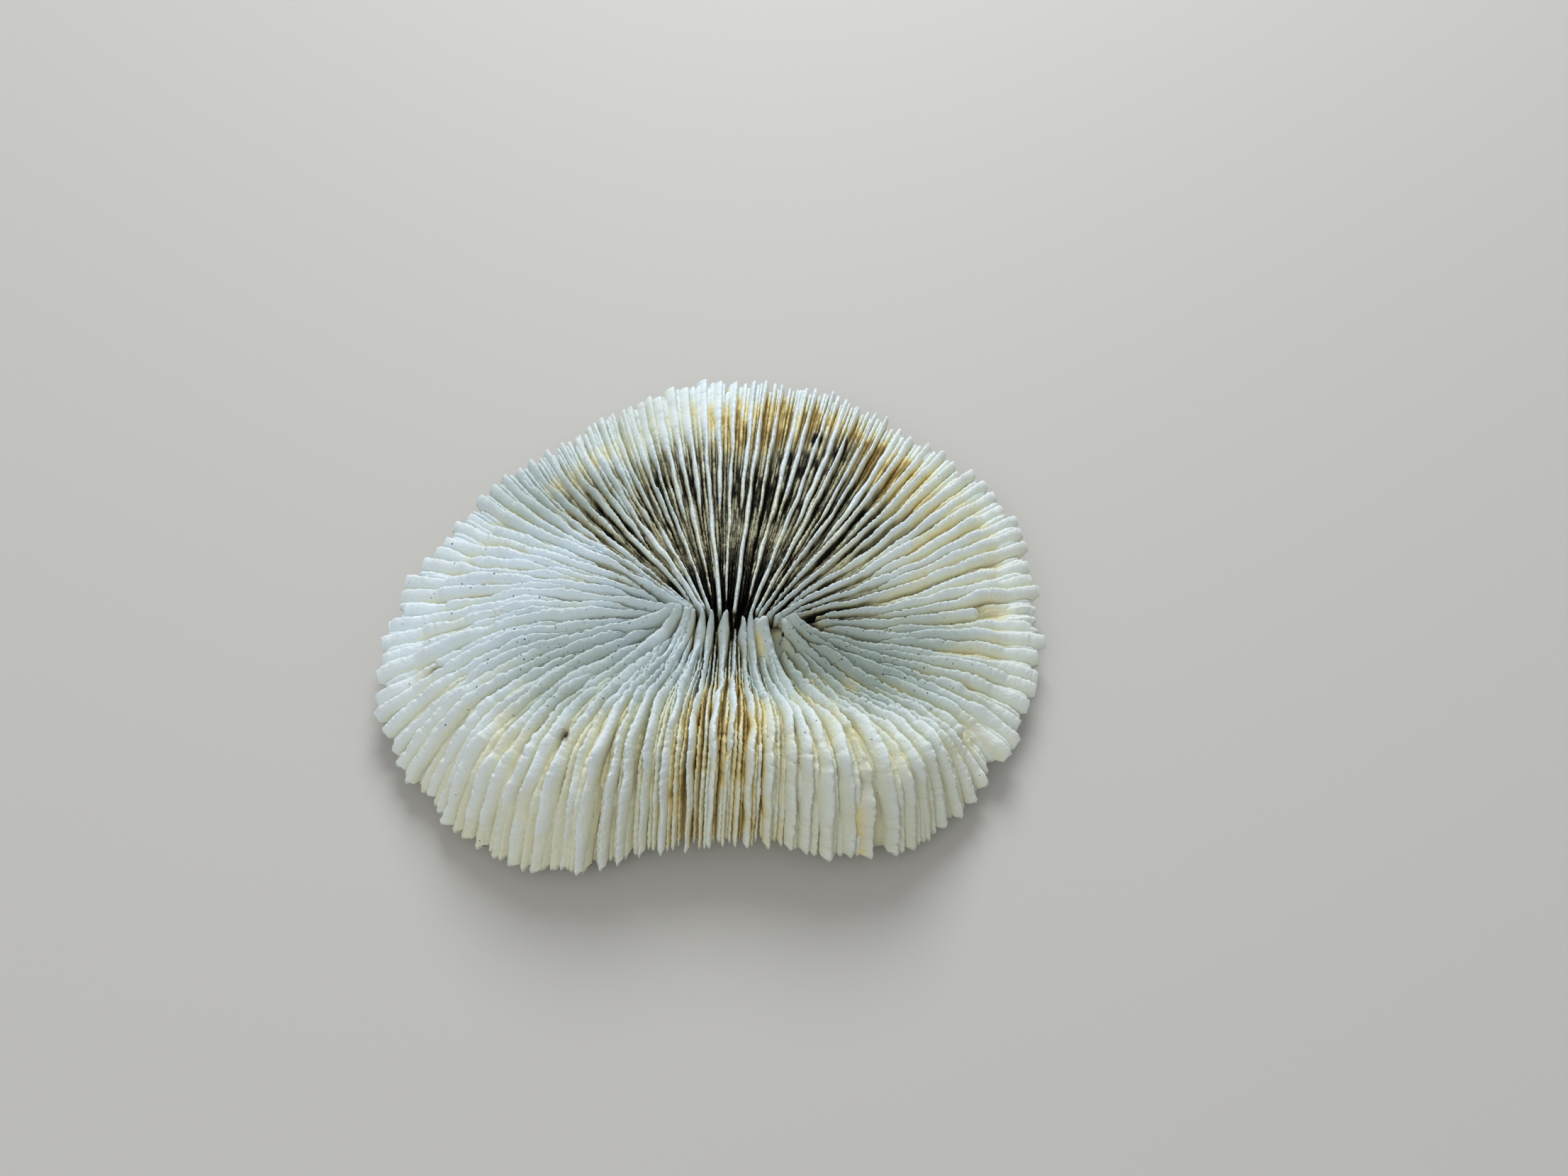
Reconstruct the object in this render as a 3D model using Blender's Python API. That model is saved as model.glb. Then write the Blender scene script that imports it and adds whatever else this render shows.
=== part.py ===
"""Mushroom coral skeleton: one grown piece, a low bumpy dome of upright plates round a slit mouth.

Metres, +Z up. The mouth's slit runs along X, the steep short side faces -Y, and the
underside rests on the ground at Z = 0.
"""
import math

import bmesh
import bpy
from mathutils import Vector

NAME = "coral_skeleton"
MM = 0.001

# The rim: distance from the mouth to the plates' tips, by azimuth from +X in degrees
RIM_RADIUS = {
    0: 64.0, 20: 68.5, 40: 73.5, 60: 73.5, 80: 77.5, 100: 76.5, 120: 72.0, 140: 69.0, 160: 68.5,
    180: 72.5, 200: 73.5, 220: 69.5, 240: 62.0, 260: 48.5, 280: 45.5, 300: 51.5, 320: 59.0, 340: 60.5,
}

# The plates' top edges: height over the ground at each share of the way from mouth to rim
STATIONS = (0.0, 0.12, 0.28, 0.46, 0.64, 0.80, 0.91, 1.0)
CREST_HEIGHT = {
    0: (18.0, 15.5, 13.3, 12.2, 12.2, 12.5, 10.8, 6.0),
    20: (18.0, 17.2, 15.0, 14.0, 13.8, 13.5, 11.0, 6.0),
    40: (18.0, 18.0, 16.2, 15.2, 15.0, 14.0, 11.6, 6.0),
    65: (18.0, 17.5, 15.4, 13.0, 11.4, 10.5, 9.2, 6.0),
    95: (18.0, 17.5, 15.5, 13.4, 11.6, 10.0, 8.8, 6.0),
    140: (18.0, 18.0, 16.8, 14.4, 12.2, 10.2, 8.6, 6.0),
    160: (18.0, 20.2, 20.3, 18.6, 16.2, 13.0, 10.0, 6.0),
    188: (18.0, 19.5, 21.0, 20.6, 18.0, 14.0, 10.4, 5.5),
    207: (18.0, 17.4, 19.6, 21.0, 20.2, 17.0, 12.4, 5.0),
    230: (18.0, 16.2, 18.6, 22.4, 23.4, 21.2, 15.8, 5.0),
    250: (18.0, 15.5, 18.2, 25.0, 26.6, 23.0, 16.4, 6.0),
    270: (18.0, 14.2, 15.4, 23.6, 26.8, 23.0, 16.4, 8.0),
    290: (18.0, 13.8, 14.2, 21.4, 26.6, 24.6, 17.6, 7.0),
    309: (18.0, 13.4, 13.8, 18.2, 24.0, 24.2, 19.0, 5.5),
    322: (18.0, 13.8, 11.8, 13.8, 19.4, 21.8, 17.0, 5.5),
    340: (18.0, 15.0, 12.6, 12.0, 12.8, 13.6, 11.4, 6.0),
}

# The mouth
MOUTH_CENTRE = (3.685, -12.059)
SLIT_HALF_LENGTH = 12.0
SLIT_FRONT_EXTRA = 2.5
SLIT_FRONT_SHIFT = -2.2
SLIT_HALF_WIDTH = 0.7
SLIT_SPREAD = 0.7
SLIT_FLOOR_HEIGHT = 8.0
SLIT_FLOOR_HALF_LENGTH = 9.6
SLIT_FLOOR_STEP = 2.0

# The plates
PLATE_COUNT = 104
CREST_HALF_THICKNESS = 0.75
CREST_SHARE_OF_PITCH = 0.22
FOOT_SHARE_OF_PITCH = 0.37
GAP_DEPTH = {0.0: 2.5, 0.28: 4.6, 0.80: 4.6, 1.0: 3.0}
BOW_FRONT = 3.0
BOW_BACK = 1.4
BOW_SKEW = 1.3
TIP_SCATTER = 0.9
RINGS = (0.0, 0.08, 0.18, 0.30, 0.43, 0.56, 0.69, 0.81, 0.92, 1.0)

# Shares of a plate's run: either way for its direction and its slope, and where its gaps start
# to be sunk square to the slope instead of straight down
DIRECTION_STEP = 0.01
SLOPE_STEP = 0.02
GAPS_TURN_FROM = 0.5

# The underside: a flat resting ring round a shallow hollow, rising to the rim
UNDER_RIM_SHARE = 0.93
UNDER_RIM_DROP = 3.4
REST_RING_OUTER = 0.76
REST_RING_INNER = 0.50
HOLLOW_SHARE = 0.28
HOLLOW_HEIGHT = 1.4

OUTLINE_STEPS = 1440
CORAL_WHITE = (0.80, 0.79, 0.70, 1.0)
ROUGHNESS = 0.85


def hermite(keys, values, slopes, index, position):
    """Cubic through two neighbouring keys with the given slopes."""
    span = keys[index + 1] - keys[index]
    t = (position - keys[index]) / span
    t2, t3 = t * t, t * t * t
    return ((2 * t3 - 3 * t2 + 1) * values[index] + (t3 - 2 * t2 + t) * span * slopes[index]
            + (3 * t2 - 2 * t3) * values[index + 1] + (t3 - t2) * span * slopes[index + 1])


def smooth_curve(keys, values, position):
    """Value of the smooth curve through the keys, with no overshoot between them."""
    steps = [(values[k + 1] - values[k]) / (keys[k + 1] - keys[k]) for k in range(len(keys) - 1)]
    slopes = [steps[0]]
    for before, after in zip(steps, steps[1:]):
        slopes.append(2 * before * after / (before + after) if before * after > 0 else 0.0)
    slopes.append(steps[-1])
    index = max(k for k in range(len(keys) - 1) if keys[k] <= position or k == 0)
    return hermite(keys, values, slopes, index, position)


def round_the_mouth(table, azimuth):
    """Value at an azimuth of a table kept by azimuth, closed on itself."""
    keys = sorted(table)
    wrapped = keys[-2:] + [k + 360 for k in keys] + [k + 720 for k in keys[:2]]
    values = [table[k % 360] for k in wrapped]
    return smooth_curve(wrapped, values, azimuth % 360 + 360)


def rim_radius(azimuth):
    return round_the_mouth(RIM_RADIUS, azimuth)


def crest_height(azimuth, share):
    """Height of a plate's top edge over the ground."""
    at_share = {k: smooth_curve(STATIONS, heights, share) for k, heights in CREST_HEIGHT.items()}
    return round_the_mouth(at_share, azimuth)


def slit_start(azimuth):
    """Where a plate begins, on the slit's edge, from the mouth's centre."""
    cos, sin = math.cos(math.radians(azimuth)), math.sin(math.radians(azimuth))
    half_length = SLIT_HALF_LENGTH - SLIT_FRONT_EXTRA * sin
    x = math.copysign(half_length * abs(cos) ** SLIT_SPREAD, cos) + SLIT_FRONT_SHIFT * max(0.0, -sin)
    return Vector((x, SLIT_HALF_WIDTH * sin))


def plate_line(azimuth, share, tip_change=0.0):
    """Plan point on a plate's run from the slit to the rim, from the mouth's centre."""
    start = slit_start(azimuth)
    outward = Vector((math.cos(math.radians(azimuth)), math.sin(math.radians(azimuth))))
    run = outward * (rim_radius(azimuth) + tip_change) - start
    left = Vector((-run.y, run.x)).normalized()
    front = 0.5 - 0.5 * outward.y
    amount = BOW_BACK + (BOW_FRONT - BOW_BACK) * front
    bow = amount * math.sin(2 * math.radians(azimuth - 270)) * math.sin(math.pi * share ** BOW_SKEW)
    return start + run * share + left * bow


def tip_scatter(index):
    """A repeatable scatter between -1 and 1 for the plate's tip."""
    return math.sin(index * 2.399) * math.cos(index * 0.731 + 1.0)


def plate_azimuths(count):
    """Azimuths that space the plates evenly along the rim."""
    points = []
    for k in range(OUTLINE_STEPS + 1):
        turn = math.radians(360 * k / OUTLINE_STEPS)
        points.append(Vector((math.cos(turn), math.sin(turn))) * rim_radius(360 * k / OUTLINE_STEPS))
    lengths = [0.0]
    for a, b in zip(points, points[1:]):
        lengths.append(lengths[-1] + (b - a).length)
    azimuths = []
    k = 0
    for plate in range(count):
        wanted = lengths[-1] * plate / count
        while lengths[k + 1] < wanted:
            k += 1
        part = (wanted - lengths[k]) / (lengths[k + 1] - lengths[k])
        azimuths.append(360 * (k + part) / OUTLINE_STEPS)
    return azimuths


def column_points(azimuth, left_azimuth, right_azimuth, tip_change, side, on_crest):
    """One column of a plate, from the slit to the rim: its crest's edge or its foot in the gap."""
    points = []
    for share in RINGS:
        centre = plate_line(azimuth, share, tip_change)
        pitch = (plate_line(left_azimuth, share) - plate_line(right_azimuth, share)).length / 2
        ahead = plate_line(azimuth, share + DIRECTION_STEP, tip_change)
        behind = plate_line(azimuth, max(0.0, share - DIRECTION_STEP), tip_change)
        along = (ahead - behind).normalized()
        across = Vector((-along.y, along.x)) * side
        height = crest_height(azimuth, share)
        if on_crest:
            plan = centre + across * min(CREST_HALF_THICKNESS, CREST_SHARE_OF_PITCH * pitch)
            points.append(Vector((plan.x, plan.y, height)))
            continue
        near, far = max(0.0, share - SLOPE_STEP), min(1.0, share + SLOPE_STEP)
        rise = crest_height(azimuth, far) - crest_height(azimuth, near)
        reach = (plate_line(azimuth, far, tip_change) - plate_line(azimuth, near, tip_change)).length
        slope = math.atan2(rise, reach)
        depth = smooth_curve(tuple(GAP_DEPTH), tuple(GAP_DEPTH.values()), share)
        inward = depth * math.sin(slope) if share > GAPS_TURN_FROM else 0.0
        plan = centre + across * FOOT_SHARE_OF_PITCH * pitch + along * inward
        points.append(Vector((plan.x, plan.y, height - depth * math.cos(slope))))
    return points


def plate_columns(azimuths):
    """Every plate's four columns in order round the mouth: foot, crest, crest, foot."""
    columns = []
    count = len(azimuths)
    for plate, azimuth in enumerate(azimuths):
        after = azimuths[(plate + 1) % count] + (360 if plate == count - 1 else 0)
        before = azimuths[plate - 1] - (360 if plate == 0 else 0)
        scatter = TIP_SCATTER * tip_scatter(plate)
        for side, on_crest in ((-1, False), (-1, True), (1, True), (1, False)):
            columns.append(column_points(azimuth, after, before, scatter, side, on_crest))
    return columns


def underside_ring(azimuths, share, height):
    """One point under each plate, from the mouth's centre; height is a function of azimuth."""
    ring = []
    for azimuth in azimuths:
        plan = plate_line(azimuth, share)
        ring.append(Vector((plan.x, plan.y, height(azimuth))))
    return ring


def build_mesh():
    """The whole skeleton as one closed surface."""
    azimuths = plate_azimuths(PLATE_COUNT)
    columns = plate_columns(azimuths)
    mesh = bmesh.new()
    offset = Vector((*MOUTH_CENTRE, 0.0))

    def add(point):
        return mesh.verts.new((point + offset) * MM)

    grid = [[add(point) for point in column] for column in columns]
    total = len(grid)
    for k in range(total):
        here, there = grid[k], grid[(k + 1) % total]
        for a in range(len(RINGS) - 1):
            mesh.faces.new((here[a], here[a + 1], there[a + 1], there[a]))

    def under_rim_height(azimuth):
        return crest_height(azimuth, 1.0) - UNDER_RIM_DROP

    shares = (UNDER_RIM_SHARE, REST_RING_OUTER, REST_RING_INNER, HOLLOW_SHARE)
    heights = (under_rim_height, lambda azimuth: 0.0, lambda azimuth: 0.0, lambda azimuth: HOLLOW_HEIGHT)
    under = []
    for share, height in zip(shares, heights):
        under.append([add(point) for point in underside_ring(azimuths, share, height)])
    count = len(azimuths)
    for plate in range(count):
        after = (plate + 1) % count
        low, low_after = under[0][plate], under[0][after]
        tips = [grid[4 * plate + k][-1] for k in range(4)] + [grid[4 * after][-1]]
        for a, b in zip(tips, tips[1:]):
            mesh.faces.new((a, low, b))
        mesh.faces.new((tips[-1], low, low_after))
        for ring, inner in zip(under, under[1:]):
            mesh.faces.new((ring[plate], inner[plate], inner[after], ring[after]))

    hollow_centre = add(Vector((0.0, 0.0, HOLLOW_HEIGHT)))
    for plate in range(count):
        mesh.faces.new((under[-1][plate], hollow_centre, under[-1][(plate + 1) % count]))
    close_slit(mesh, [column[0] for column in grid], offset)
    bmesh.ops.recalc_face_normals(mesh, faces=mesh.faces)
    return mesh


def close_slit(mesh, edge, offset):
    """Closes the mouth with a sunken strip along the slit's middle line."""
    keys = []
    floor = {}
    for vert in edge:
        x = vert.co.x / MM - offset.x
        on_floor = max(-SLIT_FLOOR_HALF_LENGTH, min(SLIT_FLOOR_HALF_LENGTH, x))
        key = round(on_floor / SLIT_FLOOR_STEP)
        keys.append(key)
        if key not in floor:
            point = Vector((key * SLIT_FLOOR_STEP, 0.0, SLIT_FLOOR_HEIGHT)) + offset
            floor[key] = mesh.verts.new(point * MM)
    for k, vert in enumerate(edge):
        after = (k + 1) % len(edge)
        if keys[k] == keys[after]:
            mesh.faces.new((vert, edge[after], floor[keys[k]]))
        else:
            mesh.faces.new((vert, edge[after], floor[keys[after]]))
            mesh.faces.new((vert, floor[keys[after]], floor[keys[k]]))


def coral_material():
    material = bpy.data.materials.new("coral_stone")
    material.use_nodes = True
    shader = material.node_tree.nodes["Principled BSDF"]
    shader.inputs["Base Color"].default_value = CORAL_WHITE
    shader.inputs["Roughness"].default_value = ROUGHNESS
    shader.inputs["Metallic"].default_value = 0.0
    return material


def main():
    for item in list(bpy.data.objects):
        bpy.data.objects.remove(item, do_unlink=True)
    collection = bpy.data.collections.new(NAME)
    bpy.context.scene.collection.children.link(collection)
    data = bpy.data.meshes.new(NAME)
    mesh = build_mesh()
    mesh.to_mesh(data)
    mesh.free()
    data.materials.append(coral_material())
    coral = bpy.data.objects.new(NAME, data)
    collection.objects.link(coral)


main()
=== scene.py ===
"""Dresses the mushroom coral skeleton: toothed plates of three sizes on a ribbed wall, its stains, and
painted light and shade.

Lengths are in millimetres until a mesh is made, measured from the mouth's centre: X along the
slit, the steep short side towards -Y, and Z = 0 on the ground. An azimuth is in degrees from +X,
and a share is a part of the way from the slit to the rim.
"""
import math

import bpy
import numpy as np
from mathutils import Matrix, Vector

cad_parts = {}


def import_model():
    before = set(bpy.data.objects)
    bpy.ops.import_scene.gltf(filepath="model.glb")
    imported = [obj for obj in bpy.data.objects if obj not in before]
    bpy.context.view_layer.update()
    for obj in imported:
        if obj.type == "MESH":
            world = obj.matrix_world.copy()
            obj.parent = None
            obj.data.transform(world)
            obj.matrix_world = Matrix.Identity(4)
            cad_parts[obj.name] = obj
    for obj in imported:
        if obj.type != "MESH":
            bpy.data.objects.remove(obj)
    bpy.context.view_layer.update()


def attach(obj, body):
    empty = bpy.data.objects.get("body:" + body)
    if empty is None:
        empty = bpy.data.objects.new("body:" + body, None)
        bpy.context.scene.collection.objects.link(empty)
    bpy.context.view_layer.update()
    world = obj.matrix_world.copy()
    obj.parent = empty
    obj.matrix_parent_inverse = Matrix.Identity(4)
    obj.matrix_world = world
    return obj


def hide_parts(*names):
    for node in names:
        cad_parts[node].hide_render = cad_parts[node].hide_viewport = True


NODE = "coral_skeleton"
MM = 0.001

# The skeleton's main form, the same values as the part's own
RIM_RADIUS = {
    0: 64, 20: 68.5, 40: 73.5, 60: 73.5, 80: 77.5, 100: 76.5, 120: 72, 140: 69, 160: 68.5,
    180: 72.5, 200: 73.5, 220: 69.5, 240: 62, 260: 48.5, 280: 45.5, 300: 51.5, 320: 59, 340: 60.5,
}
STATIONS = (0, 0.12, 0.28, 0.46, 0.64, 0.8, 0.91, 1)
CREST_HEIGHT = {
    0: (18, 15.5, 13.3, 12.2, 12.2, 12.5, 10.8, 6),
    20: (18, 17.2, 15, 14, 13.8, 13.5, 11, 6),
    40: (18, 18, 16.2, 15.2, 15, 14, 11.6, 6),
    65: (18, 17.5, 15.4, 13, 11.4, 10.5, 9.2, 6),
    95: (18, 17.5, 15.5, 13.4, 11.6, 10, 8.8, 6),
    140: (18, 18, 16.8, 14.4, 12.2, 10.2, 8.6, 6),
    160: (18, 20.2, 20.3, 18.6, 16.2, 13, 10, 6),
    188: (18, 19.5, 21, 20.6, 18, 14, 10.4, 5.5),
    207: (18, 17.4, 19.6, 21, 20.2, 17, 12.4, 5),
    230: (18, 16.2, 18.6, 22.4, 23.4, 21.2, 15.8, 5),
    250: (18, 15.5, 18.2, 25, 26.6, 23, 16.4, 6),
    270: (18, 14.2, 15.4, 23.6, 26.8, 23, 16.4, 8),
    290: (18, 13.8, 14.2, 21.4, 26.6, 24.6, 17.6, 7),
    309: (18, 13.4, 13.8, 18.2, 24, 24.2, 19, 5.5),
    322: (18, 13.8, 11.8, 13.8, 19.4, 21.8, 17, 5.5),
    340: (18, 15, 12.6, 12, 12.8, 13.6, 11.4, 6),
}
MOUTH_CENTRE = (3.685, -12.059)
SLIT_HALF_LENGTH = 12
SLIT_FRONT_EXTRA = 2.5
SLIT_FRONT_SHIFT = -2.2
SLIT_HALF_WIDTH = 0.7
SLIT_SPREAD = 0.7
PLATE_COUNT = 104
BOW_FRONT = 3
BOW_BACK = 1.4
BOW_SKEW = 1.3
TIP_SCATTER = 0.9
UNDER_RIM_SHARE = 0.93
UNDER_RIM_DROP = 3.4
REST_RING_OUTER = 0.76
REST_RING_INNER = 0.5
HOLLOW_SHARE = 0.28
HOLLOW_HEIGHT = 1.4
GROUND_GAP = 0.15

# The gaps between the plates: depth below the crests by share of the way to the rim, and how
# much of that depth is open at each azimuth
GAP_DEPTH = {0: 8, 0.28: 6.6, 0.72: 5.4, 0.88: 3.2, 1: 1.8}
GAP_OPEN = {
    0: 0.72, 40: 0.95, 90: 1, 140: 0.95, 180: 0.7, 210: 0.6, 240: 0.66, 268: 1, 290: 0.72,
    312: 0.5, 335: 0.55,
}
# Near the mouth the gaps in front are partly filled. A range is from, to and how soft its ends are.
FRONT_FILL = 0.22
FRONT_FILL_RANGE = (240, 350, 8)
RIM_NOTCH = 0.3
ROOT_SINK = 0.6
BEND_ROUNDING = 0.16
# Shares over which directions and slopes are taken, and from which the plates lean with the slope
LINE_REACH = 0.012
SLOPE_REACHES = (0.02, 0.045, 0.07)
LEANING_SHARES = (0.42, 0.62)

# Plates on the sides have a round, wide flank facing the front: the share of the way to the next
# plate that it spans, near the mouth, further out and at the rim, the shares over which one passes
# into the next, its profile from the crest down, and how much less painted shade and stain it gets.
FLANK_SPREAD = {
    0: (0.45, 0.64, 0.66), 20: (0.2, 0.6, 0.62), 40: (0.05, 0.42, 0.5), 60: (0, 0.15, 0.3),
    78: (0, 0, 0.1), 90: (0, 0.05, 0.2), 100: (0, 0.1, 0.7), 112: (0, 0.15, 0.8),
    122: (0, 0.25, 0.35), 135: (0.05, 0.35, 0.3), 148: (0.1, 0.5, 0.5), 160: (0.2, 0.62, 0.62),
    180: (0.5, 0.66, 0.66), 210: (0.62, 0.66, 0.66), 235: (0.62, 0.64, 0.64), 252: (0.4, 0.5, 0.5),
    268: (0.2, 0.28, 0.3), 284: (0.42, 0.48, 0.5), 300: (0.66, 0.66, 0.66), 320: (0.72, 0.76, 0.7),
    340: (0.66, 0.72, 0.7),
}
FURTHER_OUT = (0.22, 0.5)
AT_THE_RIM = (0.66, 0.88)
FLANK_PROFILE = (0, 0.1, 0.46, 0.86)
FLANK_PALER = 0.1

# The three sizes of plate. step is the length between its stations, half the thickness is in
# millimetres, and lower is how deep the crest lies for one of the middle size's drop.
# section gives shares of the half thickness at depths below the crest, down to the root.
PLATE_SIZES = {
    "main": {
        "step": 0.27, "half": 0.55, "thin_start": 0.45, "lower": 0, "tip_back": 0,
        "section": ((0, 0), (0.28, 0.06), (0.78, 0.75), (1.05, 2), (1.3, None)),
    },
    "middle": {
        "step": 0.31, "half": 0.36, "thin_start": 0.5, "lower": 1, "tip_back": 0.35,
        "section": ((0, 0), (0.7, 0.22), (1.3, None)),
    },
    "fine": {
        "step": 0.38, "half": 0.24, "thin_start": 0.7, "lower": 1.5, "tip_back": 0.5,
        "section": ((0, 0), (0.8, 0.2), (1.3, None)),
    },
}
THIN_AT_MOUTH = 0.85
THICKNESS_WAVES = ((0.1, 17), (0.05, 6))
FRONT_THICKER = 0.2
LESSER_TEETH = 0.32
LESSER_SWAY = 0.4

# How far the middle plates' crests lie below the main ones, by azimuth: inside, and at the rim
LESSER_DROP = {
    0: (2.4, 1), 35: (2.5, 1.2), 60: (2, 1.1), 90: (2, 0.7), 130: (1.7, 0.8), 160: (1.9, 1),
    195: (2.3, 1.1), 230: (2, 0.9), 252: (1.7, 0.7), 270: (1.5, 0.5), 288: (1.7, 0.7), 305: (2.5, 0.9),
    325: (3.2, 1.2), 345: (2.8, 1.2),
}
# Late plates rise from the gap only between these shares
LATE_DROP = 2.3
LATE_SHARES = (0.3, 0.5)

# The crests: lobes and teeth as length and greatest height, waves as amount and length
BROAD_LOBES = (6.5, 0.5)
TEETH = ((3.8, 1.15), (1.6, 0.4))
TOOTH_LEAN = (0.45, 0.75)
TIP_TEETH = (1.1, 0.5)
LOBE_UNEVENNESS = ((0.55, 5.3), (0.22, 2.3))
LEAST_LOBE = 0.25
SWAY_WAVES = ((0.28, 30), (0.16, 11))
EDGE_WAVES = ((0.06, 2.1), (0.05, 1))
SWELL_WAVES = ((0.42, 27), (0.24, 11))
STREAK_WAVES = ((0.6, 19), (0.4, 7))
LEAN = 0.3
LEDGE = 0.45
SMOOTHER_CRESTS = (180, 236, 10)

# The ends at the rim: how high squared ones rise, how much shorter all are, more so on the right
# and the left, and the dent at the back left
SQUARE_ENDS = (1.4, 2)
SQUARE_SHORTER = (0.5, 0.6, 1.7)
SQUARED_SHARES = (0.84, 1)
RIM_DENT = 1.2
RIM_DENT_RANGE = (120, 140, 6)
SHORT_CHANCE = 0.14
# The edge under the rim: control points out and down from the tip, and its least height
UNDER_STEP = 0.45
NOSE_HIGH = (0.3, -0.9)
NOSE_LOW = (0.35, -3.6)
LEAST_FOOT = 0.4
FRAYED = 0.35

# The ends at the mouth: the first plates there stand over the slit and may have a peak
AT_MOUTH = 0.01
INNER_STATIONS = 6
FRONT_PEAK = (0.3, 2.6)
BACK_PEAK = (0, 0.6)
PEAK_REACH = 2.6
PEAK_LENGTH = 3.5
SLIT_OVERHANG = (2.2, 0.9)
LESSER_OVERHANG = 0.35
LEAST_PITCH = 0.42

# The plates in the middle of the front are thin and start at the mouth
FRONT_MIDDLE = 268
FRONT_MIDDLE_WIDTH = 26
POINTED_WIDTH = 20
THINNER_RANGE = (246, 290, 6)
WIDE_AT_MOUTH_RANGE = (236, 300, 8)
BACK_FAN_RANGE = (35, 160, 6)

# Main plates in turn: the shares that they start at, and the spacings that a flank spans at the
# mouth. The back fan and the middle of the front have an order of their own, and in the valley on
# the right they start sooner.
STARTS = (0, 0.2, 0.14, 0.23, 0.06, 0.21, 0.13, 0.22)
FAN_STARTS = (0, 0.07, 0.01, 0.09)
MIDDLE_STARTS = (0, 0.004, 0, 0.03)
VALLEY_RANGE = (290, 345)
VALLEY_SOONER = 0.7
FAN_LEAST_SINE = 0.42
MOUTH_SPACINGS = (5, 1, 2.2, 1, 3.4, 1, 2.2, 1)
MIDDLE_SPACINGS = (1.7, 1, 1.5, 1)
LESSER_SPACING = (0.3, 0.3, 0, 1)
# The lesser plates are counted from these numbers, so that their tips scatter in another way
MIDDLE_FIRST = 200
FINE_FIRST = 400

# Places on the main plates that are broken away: azimuth, from share, to share, and how deep
BREAKS = (
    (15, 0.76, 1.01, 2.4), (307, 0.6, 0.88, 1.3), (198, 0.82, 0.93, 1.1), (338, 0.86, 1.01, 2.2),
)
BREAK_HALF_WIDTH = 1.7
# The stub that is left below the break in front, and the bare patch around it
STUB_AZIMUTH = 307
STUB_HALF_WIDTH = 1.6
STUB_SHARES = (0.87, 0.91)
STUB_RISE = 0.9
BARE_HALF_WIDTH = 2.6
# Crests higher than this are pressed down to keep within the part's height
TOP_BEND = 26
TOP_PRESSED = 0.4

# The wall: its grid, how far inside the plates' tips it stays, how much painted shade it takes
# beneath, and the rings that close the mouth, as shares of the slit's width and depths
WALL_COLUMNS_PER_PLATE = 8
WALL_TOP_ROWS = 46
WALL_UNDER_ROWS = 44
WALL_INSET = 0.4
WALL_SHADE = 0.3
PIT_RINGS = ((0.05, 2.6), (0.5, 1.6))

AZIMUTH_STEPS = 1440
SHARE_STEPS = 400
SEED = 11

# Stains in fans: strength, azimuths and distances from the mouth as low, high and softness, and how
# far the streaks push the distances. The dark ones all start inside the mouth, at INSIDE.
INSIDE = -99
# The dark fans are stain, but it shows only down in the gaps and darker the deeper they go, so partly
# painted shade
DARK_FANS = (
    (1, 50, 114, 12, INSIDE, 49.5, 4.5, 4),
    (0.96, 43, 151, 11, INSIDE, 45.5, 7.5, 5),
    (0.86, 9, 166, 7, INSIDE, 25.5, 12.5, 6),
)
# Near the mouth the gaps darken from shallower depths, partly as painted shade
MOUTH_FAN = ((0.72, 20, 162, 8, INSIDE, 19, 14, 6),)
GOLD_FANS = (
    (1, 50, 102, 8, 44, 76, 5, 3),
    (0.4, 28, 58, 8, 40, 62, 6, 3),
    (0.35, 100, 150, 12, 24, 52, 8, 0),
    (0.27, -50, 50, 10, 12, 72, 8, 0),
    (0.3, 122, 184, 10, 20, 68, 8, 0),
)
FRONT_GOLD_FANS = ((1.15, 257, 288, 7, 4, 47, 5, 0), (0.24, 220, 318, 12, 20, 70, 8, 0))
# Spots: strength, then place and radii in plan, in the part's frame
DARK_CORES = (
    (1, 7, 26, 13, 11), (1, 15, 36, 9, 7), (0.9, -11, 27, 10, 12), (0.7, -22, 9, 12, 12),
    (0.8, 22, 44, 5, 5), (0.76, -26, 20, 11, 9),
)
TROUGH_SPOT = ((0.56, 2, -17, 6, 8),)
# Where the slit's painted shade is left out
UNSHADED_SLIT_SPOT = ((0.85, 13.5, -13.6, 4, 2.6),)
TAN_SPOTS = ((1, -4, -17, 3.5, 5), (1, 9.5, -17, 3, 5), (1, 3, -17, 5, 5))
CREAM_SPOT = ((0.3, -30, 48, 24, 14),)
SPECK_SPOTS = (
    (0.4, -34, -24, 24, 16), (1, 36, -17, 9, 4.5), (0.25, 26, -10, 24, 9), (0.11, 0, -4, 60, 34),
    (1.2, 14, -11.5, 4.5, 2.6),
)
# Grey-green patches: partly dinge, partly painted shade of the hollows at the mouth and in the valleys
DULL_AND_SHADE_SPOTS = (
    (0.98, 28, -17, 26, 13.5), (0.55, 0, -12, 24, 13), (0.6, -22, -28, 20, 12), (0.8, -32, 20, 26, 12),
    (0.3, -25, 45, 14, 10), (0.3, 40, -48, 24, 12), (0.58, -26, -37, 12, 6), (0.8, 43, -10, 13, 8),
)
# Single dark blotches: a spot, and the depths over which it appears
BLOTCHES = (
    (1.3, 17.5, 46.5, 1.3, 2.2, 0.04, 0.2), (0.9, 18.5, -11.2, 4.2, 0.8, 0.05, 0.25),
    (1.3, -24, -46, 0.45, 0.9, -1, 0), (0.6, -54, -30, 2.6, 1.2, 0.1, 0.5),
)


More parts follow.
